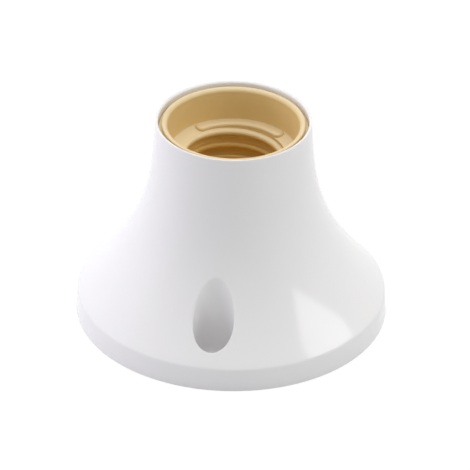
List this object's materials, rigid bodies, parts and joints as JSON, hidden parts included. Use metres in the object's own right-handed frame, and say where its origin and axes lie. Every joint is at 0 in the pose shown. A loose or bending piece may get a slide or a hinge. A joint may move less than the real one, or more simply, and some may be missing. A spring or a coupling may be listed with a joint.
{
  "type": "straight lamp holder",
  "caption": "Surface-mounting screw-cap lamp holder: white bell shell with two screw pockets and a cream threaded liner.",
  "frame": {"origin": "centre of the base plane on which the shell stands", "axes": "+Z along the lamp's axis, out of the mouth; the two fixing screw pockets lie on the Y axis"},
  "size_m": [0.08, 0.08, 0.0556],
  "materials": {
    "shell_plastic": "glossy moulded white",
    "liner_plastic": "cream heat-resistant moulding, satin gloss",
    "contact_bronze": "cold-rolled phosphor-bronze strip",
    "terminal_brass": "stamped brass",
    "screw_steel": "bright zinc-plated steel"
  },
  "bodies": {
    "housing": {"shell": "shell_plastic", "socket_liner": "liner_plastic", "contact_base": "liner_plastic", "centre_contact": "contact_bronze", "side_contact": "contact_bronze", "live_terminal": "terminal_brass", "neutral_terminal": "terminal_brass", "centre_contact_rivet": "terminal_brass", "side_contact_rivet": "terminal_brass", "left_core_screw": "screw_steel", "right_core_screw": "screw_steel"},
    "contact_stud": {"centre_contact_stud": "terminal_brass"},
    "live_clamp": {"live_clamp_washer": "screw_steel", "live_spring_washer": "screw_steel"},
    "live_screw": {"live_terminal_screw": "screw_steel"},
    "neutral_clamp": {"neutral_clamp_washer": "screw_steel", "neutral_spring_washer": "screw_steel"},
    "neutral_screw": {"neutral_terminal_screw": "screw_steel"}
  },
  "joints": [
    {"name": "contact_press", "type": "slide", "parent": "housing", "child": "contact_stud", "axis": [0, 0, 1], "range_m": [-0.0014, 0], "stiffness_N_per_m": 1500, "deforming": ["centre_contact"]},
    {"name": "live_clamp_open", "type": "slide", "parent": "housing", "child": "live_clamp", "axis": [0, 0, -1], "range_m": [0, 0.0024]},
    {"name": "live_screw_turn", "type": "hinge", "parent": "live_clamp", "child": "live_screw", "pos_m": [0, -0.018, 0.0145], "axis": [0, 0, -1], "range_deg": [0, 1440]},
    {"name": "neutral_clamp_open", "type": "slide", "parent": "housing", "child": "neutral_clamp", "axis": [0, 0, -1], "range_m": [0, 0.0024]},
    {"name": "neutral_screw_turn", "type": "hinge", "parent": "neutral_clamp", "child": "neutral_screw", "pos_m": [0, 0.018, 0.0145], "axis": [0, 0, -1], "range_deg": [0, 1440]}
  ],
  "couplings": [
    {"joint": "live_screw_turn", "follows": "live_clamp_open", "rad_per_m": 10472},
    {"joint": "neutral_screw_turn", "follows": "neutral_clamp_open", "rad_per_m": 10472}
  ]
}
